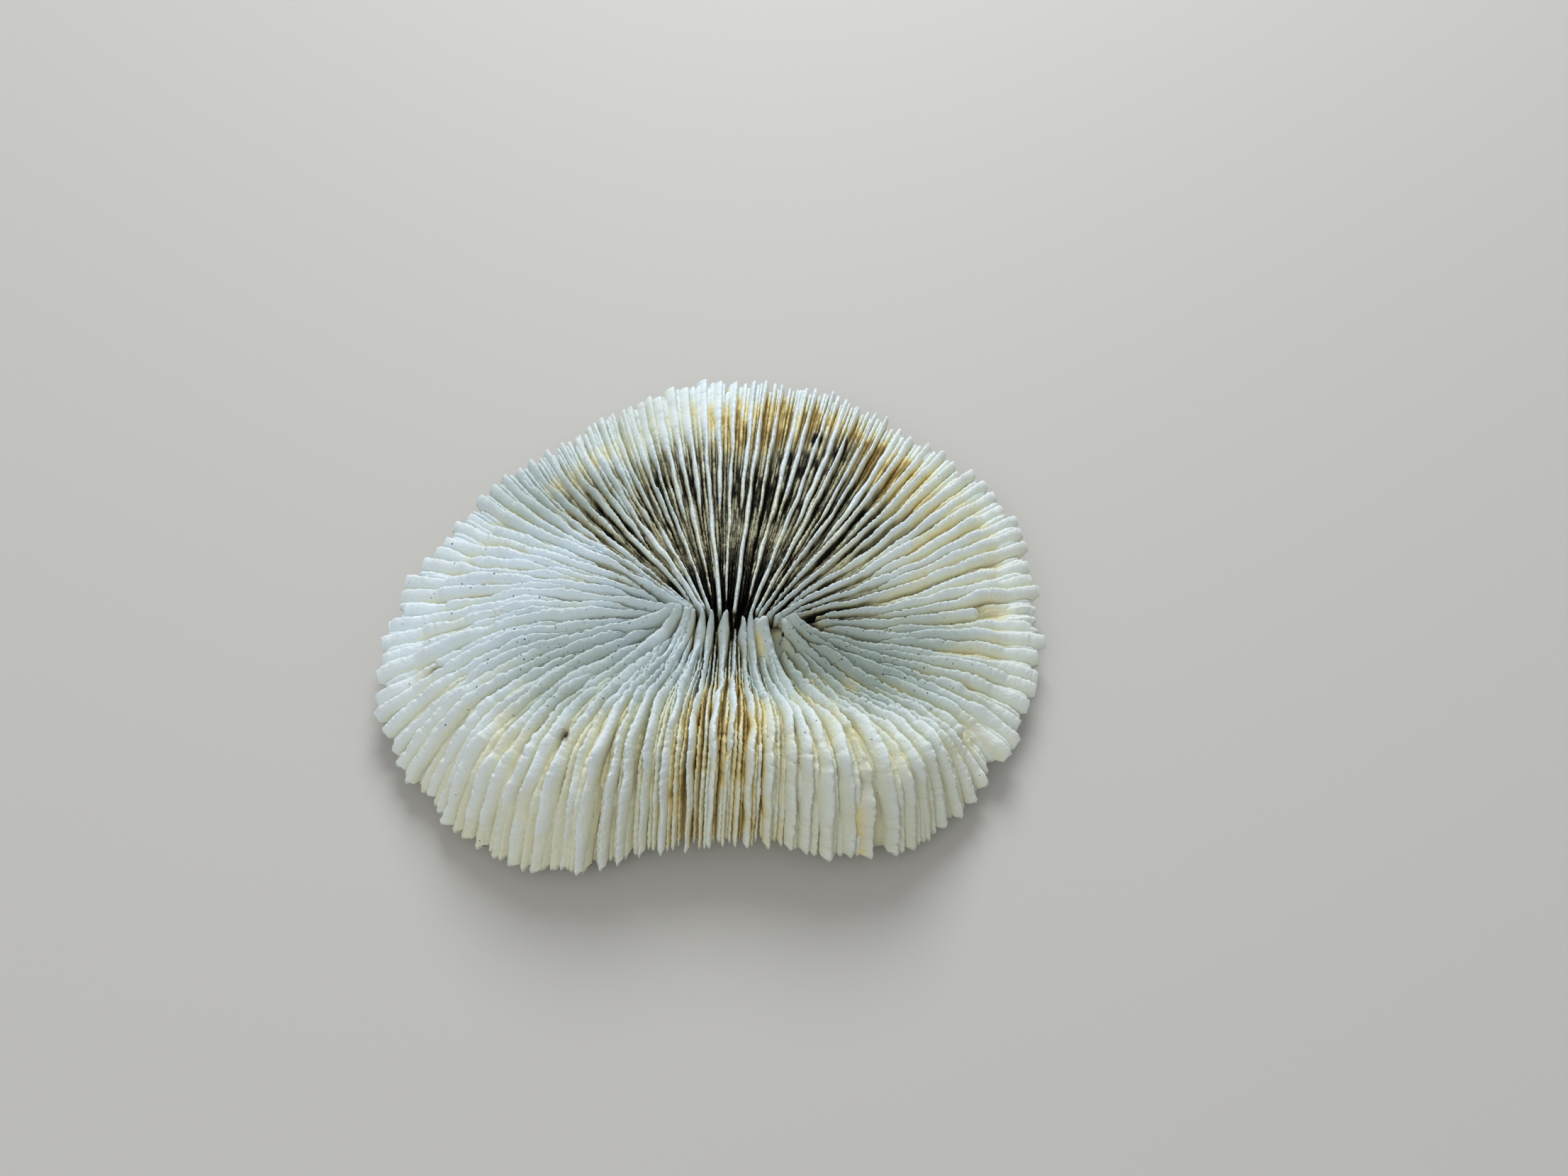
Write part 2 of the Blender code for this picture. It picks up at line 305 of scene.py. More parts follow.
def smooth_curve(keys, values, at):
    """Rows of values at each key, followed smoothly and with no overshoot between the keys."""
    keys = np.asarray(keys, float)
    values = np.asarray(values, float).reshape(len(keys), -1)
    at = np.asarray(at, float)
    steps = np.diff(values, axis=0) / np.diff(keys)[:, None]
    before, after = steps[:-1], steps[1:]
    same_way = before * after > 0
    total = np.where(same_way, before + after, 1)
    inner = np.where(same_way, 2 * before * after / total, 0)
    slopes = np.vstack([steps[:1], inner, steps[-1:]])
    k = np.clip(np.searchsorted(keys, at, side="right") - 1, 0, len(keys) - 2)
    span = (keys[k + 1] - keys[k])[:, None]
    t = (at - keys[k])[:, None] / span
    t2, t3 = t * t, t * t * t
    return ((2 * t3 - 3 * t2 + 1) * values[k] + (t3 - 2 * t2 + t) * span * slopes[k]
            + (3 * t2 - 2 * t3) * values[k + 1] + (t3 - t2) * span * slopes[k + 1])


def ramp(low, high, value):
    """0 below low and 1 above high, with a smooth rise between them."""
    t = np.clip((value - low) / (high - low), 0, 1)
    return t * t * (3 - 2 * t)


def window(value, low, high, soft):
    """1 between low and high, falling to 0 outside them over twice the soft length."""
    return ramp(low - soft, low + soft, value) * (1 - ramp(high - soft, high + soft, value))


def sector(azimuth, low, high, soft):
    """A window on azimuths that may go through 0."""
    return window(np.mod(azimuth - low + soft, 360), soft, high - low + soft, soft)


class Form:
    """The skeleton's outline and crest heights, looked up for whole arrays at once."""

    def __init__(self):
        self.steps = np.arange(AZIMUTH_STEPS + 1) * 360 / AZIMUTH_STEPS
        self.rim = self.round_the_mouth(RIM_RADIUS, self.steps)[:, 0]
        shares = np.linspace(0, 1, SHARE_STEPS + 1)
        sections = smooth_curve(STATIONS, np.array(list(CREST_HEIGHT.values())).T, shares)
        sections = self.rounded(sections)
        by_azimuth = {k: sections[:, n] for n, k in enumerate(CREST_HEIGHT)}
        self.crest = self.round_the_mouth(by_azimuth, self.steps)
        turn = np.radians(self.steps)
        edge = np.stack([np.cos(turn), np.sin(turn)], 1) * self.rim[:, None]
        between = np.linalg.norm(np.diff(edge, axis=0), axis=1)
        self.rim_length = np.concatenate([[0], np.cumsum(between)])
        self.gap_open = self.round_the_mouth(GAP_OPEN, self.steps)[:, 0]
        self.flank_spread = self.round_the_mouth(FLANK_SPREAD, self.steps)
        self.plate_turn = self.rim_length[-1] / PLATE_COUNT / np.gradient(self.rim_length, self.steps)

    @staticmethod
    def rounded(sections):
        """The crest heights with their bends rounded off and their ends kept."""
        reach = int(BEND_ROUNDING * SHARE_STEPS)
        weights = np.hanning(2 * reach + 1)
        before = 2 * sections[:1] - sections[reach:0:-1]
        after = 2 * sections[-1:] - sections[-2:-reach - 2:-1]
        padded = np.vstack([before, sections, after])
        columns = [np.convolve(column, weights / weights.sum(), "valid") for column in padded.T]
        return np.stack(columns, 1)

    @staticmethod
    def round_the_mouth(table, azimuths):
        """A table's values by azimuth, followed smoothly all the way round."""
        keys = sorted(table)
        wrapped = [k - 360 for k in keys[-2:]] + keys + [k + 360 for k in keys[:3]]
        return smooth_curve(wrapped, np.array([table[k % 360] for k in wrapped]), azimuths)

    def rim_radius(self, azimuth):
        return np.interp(np.mod(azimuth, 360), self.steps, self.rim)

    def crest_height(self, azimuth, share):
        a = np.mod(azimuth, 360) / 360 * AZIMUTH_STEPS
        s = np.clip(share, 0, 1) * SHARE_STEPS
        i = np.clip(a.astype(int), 0, AZIMUTH_STEPS - 1)
        j = np.clip(s.astype(int), 0, SHARE_STEPS - 1)
        fa, fs = a - i, s - j
        return ((1 - fa) * ((1 - fs) * self.crest[i, j] + fs * self.crest[i, j + 1])
                + fa * ((1 - fs) * self.crest[i + 1, j] + fs * self.crest[i + 1, j + 1]))

    def slit_start(self, azimuth):
        """Plan points on the slit's outline where the plates of each azimuth begin."""
        cos, sin = np.cos(np.radians(azimuth)), np.sin(np.radians(azimuth))
        half = SLIT_HALF_LENGTH - SLIT_FRONT_EXTRA * sin
        x = np.sign(cos) * half * np.abs(cos) ** SLIT_SPREAD + SLIT_FRONT_SHIFT * np.maximum(0, -sin)
        return np.stack([x, SLIT_HALF_WIDTH * sin], -1)

    def plate_line(self, azimuth, share, tip_change=0):
        """Plan points on the plates' runs from the slit to the rim, from the mouth's centre."""
        azimuth, share = np.broadcast_arrays(np.asarray(azimuth, float), np.asarray(share, float))
        start = self.slit_start(azimuth)
        turn = np.radians(azimuth)
        outward = np.stack([np.cos(turn), np.sin(turn)], -1)
        run = outward * (self.rim_radius(azimuth) + tip_change)[..., None] - start
        left = np.stack([-run[..., 1], run[..., 0]], -1)
        left /= np.linalg.norm(left, axis=-1, keepdims=True)
        amount = BOW_BACK + (BOW_FRONT - BOW_BACK) * (0.5 - 0.5 * outward[..., 1])
        curve = np.sin(math.pi * np.clip(share, 0, 1) ** BOW_SKEW)
        bow = amount * np.sin(2 * np.radians(azimuth - 270)) * curve
        return start + run * share[..., None] + left * bow[..., None]

    def spaced_azimuths(self, places):
        """Azimuths at shares of the rim's length, so that plates are evenly spaced along it."""
        wanted = np.mod(places, 1) * self.rim_length[-1]
        return np.interp(wanted, self.rim_length, self.steps)

    def crest_frame(self, azimuth, share, tip_change=0):
        """Crest point, direction along the run, direction across it, and direction into the gap."""
        share = np.asarray(share, float)
        ahead, behind = np.minimum(share + LINE_REACH, 1), np.maximum(share - LINE_REACH, 0)
        front = self.plate_line(azimuth, ahead, tip_change)
        back = self.plate_line(azimuth, behind, tip_change)
        along = front - back
        reach = np.linalg.norm(along, axis=-1)
        along = along / reach[..., None]
        across = np.stack([-along[..., 1], along[..., 0]], -1)
        azimuths = np.broadcast_to(azimuth, share.shape)
        rise = 0
        for far in SLOPE_REACHES:
            outer, inner = np.minimum(share + far, 1), np.maximum(share - far, 0)
            change = self.crest_height(azimuths, outer) - self.crest_height(azimuths, inner)
            rise = rise + change / (outer - inner) / len(SLOPE_REACHES)
        tilt = np.arctan2(rise * (ahead - behind), reach) * ramp(*LEANING_SHARES, share)
        plan = self.plate_line(azimuth, share, tip_change)
        height = self.crest_height(azimuths, share)
        point = np.concatenate([plan, height[..., None]], -1)
        down = np.concatenate([along * np.sin(tilt)[..., None], -np.cos(tilt)[..., None]], -1)
        return point, along, across, down

    def front_flank(self, azimuth, share, across):
        """How far the flank that faces the front spreads at its foot, negative on the right."""
        turn = np.interp(azimuth % 360, self.steps, self.plate_turn) / 2
        step = self.plate_line(azimuth + turn, share) - self.plate_line(azimuth - turn, share)
        pitch = np.maximum(np.abs(np.sum(step * across, axis=-1)), LEAST_PITCH)
        return self.spread_share(azimuth, share) * pitch * (1 if 90 < azimuth % 360 < 270 else -1)

    def spread_share(self, azimuth, share):
        """Share of the way to the next plate that a flank spans."""
        around = np.mod(azimuth, 360)
        near, far, rim = (np.interp(around, self.steps, column) for column in self.flank_spread.T)
        share = np.asarray(share, float)
        spread = near + (far - near) * ramp(*FURTHER_OUT, share)
        return spread + (rim - far) * ramp(*AT_THE_RIM, share)

    def gap_floor(self, azimuth, share, tip_change=0):
        """Point on the wall at the bottom of the gaps, and the gap's depth there."""
        point, along, _, down = self.crest_frame(azimuth, share, tip_change)
        share = np.asarray(share, float)
        around = np.mod(azimuth, 360)
        depth = smooth_curve(tuple(GAP_DEPTH), tuple(GAP_DEPTH.values()), share.ravel())
        depth = depth.reshape(share.shape) * np.interp(around, self.steps, self.gap_open)
        filled = FRONT_FILL * window(around, *FRONT_FILL_RANGE) * (1 - ramp(0.05, 0.25, share))
        depth = depth * (1 - filled)
        floor = point + down * depth[..., None]
        floor[..., :2] -= along * (RIM_NOTCH * ramp(0.9, 1, share))[..., None]
        return floor, depth


def waves(rng, run, table):
    """A repeatable sum of waves along a run: pairs of amount and length."""
    total = np.zeros_like(run)
    for amount, length in table:
        uneven = length * rng.uniform(0.8, 1.25)
        total += amount * np.sin(2 * math.pi * run / uneven + rng.uniform(0, 2 * math.pi))
    return total


def lobes(rng, run, length, height, pointed=False):
    """Lobes of uneven length and height along a run, with sharp notches between them."""
    uneven = np.zeros_like(run)
    for amount, longer in LOBE_UNEVENNESS:
        uneven += amount * np.sin(2 * math.pi * run / (longer * length) + rng.uniform(0, 2 * math.pi))
    phase = run / length + uneven + rng.uniform(0, 1)
    number = np.floor(phase).astype(int)
    number -= number.min()
    heights = rng.uniform(LEAST_LOBE, 1, number.max() + 1)[number] * height
    part = phase - np.floor(phase)
    if pointed:
        return heights * (1 - np.abs(2 * part - 1)) ** 1.3
    return heights * (np.sin(math.pi * part ** 0.75) ** 0.45 - 0.6)


def ledges(rng, run):
    """A few sudden small steps in a crest's height."""
    total = np.zeros_like(run)
    for _ in range(rng.integers(2, 5)):
        place = rng.uniform(0.1, 0.95) * run[-1]
        total += rng.uniform(-1, 1) * LEDGE * (ramp(place - 0.5, place + 0.5, run) - 0.5)
    return total


def shorter_by(azimuth):
    """How much nearer the mouth the squared ends stand than the outline of the main form."""
    side, front = np.cos(np.radians(azimuth)), -np.sin(np.radians(azimuth))
    least, right, left = SQUARE_SHORTER
    shorter = least + np.maximum(0, side) * right + np.maximum(0, -side) * left
    dent = RIM_DENT * window(np.mod(azimuth, 360), *RIM_DENT_RANGE)
    return dent + shorter * (1 - ramp(0.4, 0.95, front))


def even_shares(form, azimuth, start, tip_change, step):
    """Shares of the way from the start to the rim whose crest points lie about a step apart."""
    trial = np.linspace(start, 1, 300)
    point = form.crest_frame(azimuth, trial, tip_change)[0]
    run = np.concatenate([[0], np.cumsum(np.linalg.norm(np.diff(point, axis=0), axis=1))])
    even = np.linspace(0, run[-1], max(12, int(run[-1] / step)))
    return np.interp(even, run, trial), even


def broken_depth(azimuth, share):
    """How far a crest is broken down along its run."""
    depth = np.zeros_like(share)
    for place, low, high, most in BREAKS:
        if abs(azimuth - place) < BREAK_HALF_WIDTH:
            depth = np.maximum(depth, most * window(share, low, high, 0.025))
    return depth


def shallow_share(depth):
    """How much of its full shade a gap keeps: shallow gaps are paler."""
    return 0.45 + 0.55 * ramp(1.5, 4, depth)


class Plate:
    """One plate folded over its crest, with stations from the mouth over the rim and under it."""

    def __init__(self, form, rng, size, azimuth, tip_change, start, late, spacing):
        self.form, self.rng, self.size, self.azimuth = form, rng, size, azimuth
        self.tip_change, self.start, self.late = tip_change, start, late
        self.from_mouth = start < AT_MOUTH
        self.is_main = size is PLATE_SIZES["main"]
        self.has_stub = self.is_main and abs(azimuth - STUB_AZIMUTH) < STUB_HALF_WIDTH
        # 0 for a plate that runs straight back and 1 for one that runs straight to the front
        self.facing = 0.5 - 0.5 * math.sin(math.radians(azimuth))
        self.frontal = ramp(0.55, 0.85, self.facing)
        self.share, self.run = even_shares(form, azimuth, start, tip_change, size["step"])
        self.way = self.run / self.run[-1]
        self.middle = np.sin(math.pi * self.way) ** 0.5
        self.rim = ramp(0.78, 0.97, self.share)
        self.stub = ramp(*STUB_SHARES, self.share) * float(self.has_stub)
        self.set_crest(spacing)
        self.add_ends()
        self.set_thickness()
        self.fold()
        self.fray()
        self.shade()

    def set_crest(self, spacing):
        """The ridge that the plate is folded over, its toothed crest, its root and its wide flank."""
        point, along, across, down = self.form.crest_frame(self.azimuth, self.share, self.tip_change)
        floor, self.gap = self.form.gap_floor(self.azimuth, self.share, self.tip_change)
        teeth = self.teeth()
        self.lift = self.crest_lift()
        sway = self.sway()
        near, far, from_share, to_share = spacing
        passed = ramp(from_share, to_share, self.share)
        further = 1 + (far - 1) * (1 - ramp(*LATE_SHARES, self.share))
        flank = self.form.front_flank(self.azimuth, self.share, across) * (near + (further - near) * passed)
        ridge = point - down * self.lift[:, None]
        ridge[:, :2] += across * sway[:, None]
        crest = ridge - down * teeth[:, None]
        lean = TOOTH_LEAN[0] + (TOOTH_LEAN[1] - TOOTH_LEAN[0]) * ramp(0.4, 0.9, self.facing)
        crest[:, :2] -= across * (np.sign(flank) * lean * teeth)[:, None]
        self.ridge, self.crest, self.root = ridge, crest, floor + down * ROOT_SINK
        self.along, self.across, self.flank = along, across, flank

    def teeth(self):
        """Heights of the crest's teeth, smaller at the rim and on the plates at the back."""
        rougher = ramp(0.42, 0.72, self.facing)
        heights = np.zeros_like(self.run)
        for length, most in TEETH:
            uneven = length * (0.72 + 0.28 * rougher) * self.rng.uniform(0.85, 1.2)
            heights = heights + lobes(self.rng, self.run, uneven, most)
        heights = heights * (0.95 - 0.25 * self.rim) * (0.52 + 0.48 * rougher)
        heights = heights * (1 - 0.3 * window(self.azimuth, *SMOOTHER_CRESTS))
        return heights if self.is_main else heights * LESSER_TEETH

    def crest_lift(self):
        """How far the crest stands above the main form, apart from its teeth."""
        rng, share, run = self.rng, self.share, self.run
        inside, at_rim = self.form.round_the_mouth(LESSER_DROP, np.array([self.azimuth % 360]))[0]
        drop = self.size["lower"] * (inside + (at_rim - inside) * ramp(0.62, 0.95, share))
        if self.late:
            drop = drop + LATE_DROP * (1 - ramp(*LATE_SHARES, share))
        lift = lobes(rng, run, *BROAD_LOBES) + ledges(rng, run)
        lift += waves(rng, run, SWELL_WAVES) * self.middle + rng.uniform(-0.45, 0.15)
        square = SQUARE_ENDS[0] + SQUARE_ENDS[1] * abs(math.cos(math.radians(self.azimuth)))
        lift += square * ramp(0.88, 1, share) * (1 - ramp(0.62, 0.85, self.facing))
        lift -= drop * (0.45 + 0.55 * ramp(0, 0.2, self.way))
        if self.from_mouth:
            peak = rng.uniform(*(FRONT_PEAK if self.facing > 0.45 else BACK_PEAK))
            lift += peak * np.exp(-(run / PEAK_REACH) ** 2)
        else:
            lift -= rng.uniform(1.2, 2.6) * (1 - ramp(0, 0.09, self.way))
        if self.is_main:
            lift -= broken_depth(self.azimuth, share)
        lift += STUB_RISE * self.stub
        return np.maximum(lift, 0.5 - self.gap)

    def sway(self):
        """How far the crest wanders and leans to one side."""
        straighter = 0.45 + 0.55 * ramp(0.1, 0.45, self.facing)
        wander = straighter * waves(self.rng, self.run, SWAY_WAVES) * self.middle
        lean = self.rng.uniform(-LEAN, LEAN) * ramp(0.1, 0.5, self.share) * (1 - 0.5 * self.rim)
        return wander + lean if self.is_main else (wander + lean) * LESSER_SWAY

    def under_end(self):
        """The end at the rim, which drops steeply and then turns under towards the foot."""
        end = self.form.plate_line(self.azimuth, UNDER_RIM_SHARE, self.tip_change)
        height = self.form.crest_height(np.array([self.azimuth]), np.array([1]))[0] - UNDER_RIM_DROP
        end = np.array([*end, max(LEAST_FOOT, height)])
        tip, wall, outward = self.crest[-1], self.root[-1], self.along[-1]
        self.unders = max(6, int((np.linalg.norm(tip - end) + 1.5) / UNDER_STEP))
        k = np.linspace(0, 1, self.unders + 1)[1:, None]
        high = tip + np.array([*(outward * NOSE_HIGH[0]), NOSE_HIGH[1]])
        low = tip + np.array([*(outward * NOSE_LOW[0]), NOSE_LOW[1]])
        edge = (1 - k) ** 3 * tip + 3 * k * (1 - k) ** 2 * high + 3 * k ** 2 * (1 - k) * low + k ** 3 * end
        ridge = edge.copy()
        root = wall + (end - wall) * k * 0.6
        self.under_way = k[:, 0]
        self.under_run = np.linspace(0, 1, self.unders) * self.unders * UNDER_STEP
        teeth = lobes(self.rng, self.under_run, *TIP_TEETH, pointed=True)
        teeth = teeth * np.sin(math.pi * self.under_way) ** 0.5
        edge[:, :2] += outward * (teeth * (1 - 0.5 * self.under_way))[:, None]
        edge[:, 2] -= teeth * (0.3 + 0.7 * self.under_way)
        root[:, 2] += 0.4 * (1 - self.under_way)
        return edge, ridge, root

    def inner_end(self):
        """The inner end, which drops into the mouth or onto the wall."""
        self.inner_way = np.linspace(1, 0, INNER_STATIONS, endpoint=False)
        m = self.inner_way[:, None]
        overhang = LESSER_OVERHANG
        if self.from_mouth:
            overhang = SLIT_OVERHANG[0 if self.facing > 0.5 else 1] * self.rng.uniform(0.7, 1.2)
        inward = np.array([*(-self.along[0] * overhang), 0])
        crest, root = self.crest[0], self.root[0]
        edge = crest + (root - crest) * m ** 1.5 * 0.85 + inward * np.sin(math.pi / 2 * m)
        edge[:, 2] += self.rng.uniform(-0.35, 0.35, INNER_STATIONS) * (1 - self.inner_way)
        foot = np.repeat(self.root[:1], INNER_STATIONS, 0) + np.array([*self.along[0], 0])
        return edge, foot

    def padded(self, values):
        """Values at the crest's stations, kept the same over both ends."""
        inner = np.repeat(values[:1], INNER_STATIONS, 0)
        return np.concatenate([inner, values, np.repeat(values[-1:], self.unders, 0)])

    def add_ends(self):
        under, under_ridge, under_root = self.under_end()
        inner, inner_root = self.inner_end()
        self.crest = np.vstack([inner, self.crest, under])
        self.ridge = np.vstack([inner, self.ridge, under_ridge])
        self.root = np.vstack([inner_root, self.root, under_root])
        self.sides = self.padded(self.across)
        self.shares = self.padded(self.share)
        beyond = self.run[-1] + self.under_run + 0.3
        self.runs = np.concatenate([-2 * self.inner_way, self.run, beyond])

    def set_thickness(self):
        """Half the plate's thickness at each station, and its flank's spread over the ends too."""
        flank = self.flank * (1 - (0.15 + 0.25 * self.frontal) * ramp(0.86, 1, self.share))
        flank = self.padded(flank * (1 + 0.6 * self.stub))
        flank[-self.unders:] *= np.linspace(1, 0.8 - 0.3 * self.frontal, self.unders)

        taper = np.concatenate([np.linspace(0.35, 1, INNER_STATIONS), np.ones(len(self.run)),
                                np.linspace(1, 0.8, self.unders)])
        thin = THIN_AT_MOUTH if self.from_mouth else self.size["thin_start"]
        full_by = (0.3, 0.55) if self.late else (self.start, 0.4)
        thick = self.size["half"] * taper * (thin + (1 - thin) * ramp(*full_by, self.shares))
        thick *= self.rng.uniform(0.8, 1.25)
        thick *= 1 + FRONT_THICKER * ramp(0.35, 0.75, self.facing) * ramp(0.45, 0.8, self.shares)
        thick *= 1 + waves(self.rng, self.runs, THICKNESS_WAVES)
        thick *= 1 - 0.35 * window(self.azimuth, *THINNER_RANGE) * ramp(0.1, 0.35, self.shares)
        if self.from_mouth:
            near_mouth = 1 - ramp(0.03, 0.25, self.shares)
            thick *= 1 + 0.9 * window(self.azimuth, *WIDE_AT_MOUTH_RANGE) * near_mouth
        if abs(self.azimuth - FRONT_MIDDLE) < POINTED_WIDTH:
            pointed = 0.3 + 0.7 * ramp(-0.5 * PEAK_LENGTH, PEAK_LENGTH, self.runs)
            thick, flank = thick * pointed, flank * pointed
        self.thick, self.flank = thick, flank

    def fold(self):
        """Columns of points down both sides of the crest, and how deep each one lies."""
        into = self.root - self.ridge
        full = np.maximum(np.linalg.norm(into, axis=1, keepdims=True), 1e-6)
        into = into / full
        # At the sides and back the ends are cut square: the foot comes out as far as the crest
        outward = self.padded(self.along)
        squared = self.padded(ramp(*SQUARED_SHARES, self.share) * (1 - 0.45 * self.frontal))
        squared[:INNER_STATIONS] = 0
        squared[-self.unders:] *= 1 - ramp(0, 0.7, self.under_way)
        set_back = squared * np.sum(into[:, :2] * outward, axis=1)
        paler = FLANK_PALER * np.interp(self.azimuth % 360, self.form.steps, self.form.flank_spread[:, 1])
        section = self.size["section"]
        columns, depths = [], []
        for side, ranks in ((-1, range(len(section) - 1, -1, -1)), (1, range(1, len(section)))):
            to_front = np.clip(self.flank * side - self.size["half"], 0, None)
            leaning = ramp(0.2, 0.8, to_front)[:, None]
            ragged = waves(self.rng, self.runs, EDGE_WAVES)
            for rank in ranks:
                wide, deep = section[rank]
                reach = full if deep is None else np.minimum(deep, full * 0.22 * rank)
                toothed = (1, 0.7 - 0.58 * leaning, 0, 0, 0)[rank]
                column = self.ridge + (self.crest - self.ridge) * toothed + into * reach
                spread = 1 if deep is None else FLANK_PROFILE[rank]
                offset = wide * self.thick + to_front * spread + (ragged if rank == 1 else 0)
                column[:, :2] += side * self.sides * offset[:, None]
                if deep is not None:
                    column[:, :2] -= outward * (set_back * reach[:, 0])[:, None]
                columns.append(column)
                depths.append((reach / full)[:, 0] * (1 - np.where(to_front > 0, paler, 0)))
        self.points = np.stack(columns, 1)
        self.own_depth = np.stack(depths, 1)

    def fray(self):
        """The edge under the rim is made ragged between its outer columns."""
        count = self.points.shape[1]
        inner_columns = np.sin(math.pi * (np.arange(count) + 0.5) / count)
        along_edge = np.sin(math.pi * self.under_way[:, None] ** 0.8) ** 0.7
        frayed = self.rng.uniform(-0.4, 1, count) * inner_columns * along_edge * FRAYED
        self.points[-self.unders:, :, :2] += frayed[:, :, None] * 0.5 * self.along[-1]
        self.points[-self.unders:, :, 2] -= frayed * 0.7

    def shade(self):
        """Shares of the gap's depth, below the plate's own crest and the main ones, and streaks."""
        own_depth = self.own_depth * shallow_share(self.padded(self.gap))[:, None]
        sunk = self.padded(np.clip(-self.lift, 0, None) / self.gap * shallow_share(self.gap))
        sunk[:INNER_STATIONS] += self.inner_way * 0.9
        sunk = np.clip(sunk, 0, 1)[:, None]
        streak = waves(self.rng, self.runs, STREAK_WAVES) + self.rng.uniform(-0.5, 0.5)
        columns = own_depth.shape[1]
        self.layers = {
            "depth": (sunk + (1 - sunk) * own_depth).ravel(), "own_depth": own_depth.ravel(),
            "share": np.repeat(self.shares, columns), "streak": np.repeat(streak, columns),
            "stub": np.full(own_depth.size, float(self.has_stub)),
        }


def grid_faces(rows, columns, offset, closed=False):
    """Quads of a grid of points kept row by row, whose rows may close on themselves."""
    here = np.arange(columns if closed else columns - 1)
    row = np.arange(rows - 1)[:, None] * columns
    a, b = row + here, row + (here + 1) % columns
    quads = np.stack([a, b, b + columns, a + columns], -1).reshape(-1, 4)
    return quads + offset


def new_object(name, data):
    item = bpy.data.objects.new(name, data)
    bpy.context.scene.collection.objects.link(item)
    return item


def mesh_object(name, points, faces, layers, uvs=None):
    """A smooth-shaded mesh from arrays: points in millimetres from the mouth's centre."""
    world = (points + np.array([*MOUTH_CENTRE, 0])) * MM
    data = bpy.data.meshes.new(name)
    data.from_pydata(world.tolist(), [], [f.tolist() for f in faces])
    data.update()
    for key, values in layers.items():
        kind, field = ("FLOAT", "value") if values.ndim == 1 else ("FLOAT_COLOR", "color")
        layer = data.attributes.new(key, kind, "POINT")
        layer.data.foreach_set(field, values.astype(np.float32).ravel())
    if uvs is not None:
        layer = data.uv_layers.new(name="OFBake")
        loops = np.empty(len(data.loops), np.int32)
        data.loops.foreach_get("vertex_index", loops)
        layer.data.foreach_set("uv", uvs.astype(np.float32)[loops].ravel())
    data.shade_smooth()
    return new_object(name, data)


def spots(points, table):
    """Each spot is strongest at its place in plan and falls smoothly to 0 around it."""
    rows = []
    for strength, x, y, radius_x, radius_y in table:
        u = (points[:, 0] + MOUTH_CENTRE[0] - x) / radius_x
        v = (points[:, 1] + MOUTH_CENTRE[1] - y) / radius_y
        rows.append(strength * np.exp(-(u * u + v * v)))
    return np.array(rows)


def fans(polar, table):
    """The strongest of a table's fans at each point, given its azimuth, distance and streak."""
    azimuth, reach, streak = polar
    rows = []
    for strength, low, high, soft, nearest, furthest, fade, push in table:
        band = window(reach + push * streak, nearest, furthest, fade)
        rows.append(strength * sector(azimuth, low, high, soft) * band)
    return np.max(rows, axis=0)


def dark_stain_and_shade(points, polar, depth, own_depth):
    """Dark stain in the back fan's gaps and in blotches, partly painted shade, and painted shade at the
    slit.
    """
    _, reach, streak = polar
    # Partly painted shade: the dark shows only in the gaps, darker as they deepen, more so near the mouth
    in_gap = ramp(0.06, 0.32, depth) * (0.34 + 0.66 * ramp(0.04, 0.4, own_depth))
    in_gap = np.maximum(in_gap, fans(polar, MOUTH_FAN) * ramp(0.08, 0.28, depth))
    dark = fans(polar, DARK_FANS) * (1 + 0.35 * streak) * (1.75 - 0.75 * ramp(8, 30, reach))
    # Painted shade of the slit's opening, left out at one spot
    aside = np.maximum(0, np.abs(points[:, 0] - 1) - SLIT_HALF_LENGTH)
    away = np.hypot(aside, np.where(points[:, 1] < 0, 1.5, 1) * points[:, 1])
    slit = (1 - ramp(0, 6, away)) * (1 - spots(points, UNSHADED_SLIT_SPOT).max(0))
    trough = spots(points, TROUGH_SPOT).max(0) * (0.9 + 0.8 * streak)
    dark = np.maximum(dark, np.maximum(trough, 1.2 * slit * ramp(0.25, 0.6, depth))) * in_gap
    core = spots(points, DARK_CORES).max(0)
    dark = np.maximum(dark, core * ramp(0.12, 0.32, depth) * (0.66 + 0.6 * streak))
    for *spot, low, high in BLOTCHES:
        dark = np.maximum(dark, spots(points, [spot]).max(0) * ramp(low, high, depth))
    return dark


def gold_stain(points, polar, depth, own_depth, on_stub):
    """Amber and straw between the plates, on the stub and in the trough in front of the mouth."""
    uneven = 0.85 + 0.3 * polar[2]
    gold = fans(polar, GOLD_FANS) * uneven * ramp(0.12, 0.5, depth)
    gold = np.maximum(gold, fans(polar, FRONT_GOLD_FANS) * uneven * ramp(0.12, 0.62, depth))
    gold = np.maximum(gold, (0.12 + 0.3 * ramp(0, 0.25, own_depth)) * on_stub)
    tan = spots(points, TAN_SPOTS).max(0) * ramp(0.02, 0.16, own_depth)
    return np.maximum(gold, 0.34 * tan * (0.8 + 0.4 * polar[2]))


def cream_tint(points, polar, share):
    """The cream of the rim and the back fan, and a painted warm cast on the right side and the front."""
    azimuth, reach, streak = polar
    # Painted warm cast: the right side and the front are made warmer, as if warmer light falls there
    right = ramp(-15, 50, points[:, 0] + MOUTH_CENTRE[0])
    front = ramp(-22, -58, points[:, 1] + MOUTH_CENTRE[1])
    cream = 0.03 + spots(points, CREAM_SPOT).max(0) + 0.27 * right + 0.32 * front + 0.06 * streak
    cream = cream + (0.14 + 0.14 * right + 0.2 * front) * ramp(0.7, 1, share)
    fan = sector(azimuth, 40, 145, 12) * (1 - ramp(34, 52, reach))
    return cream + 0.48 * (1 + 0.8 * streak) * fan


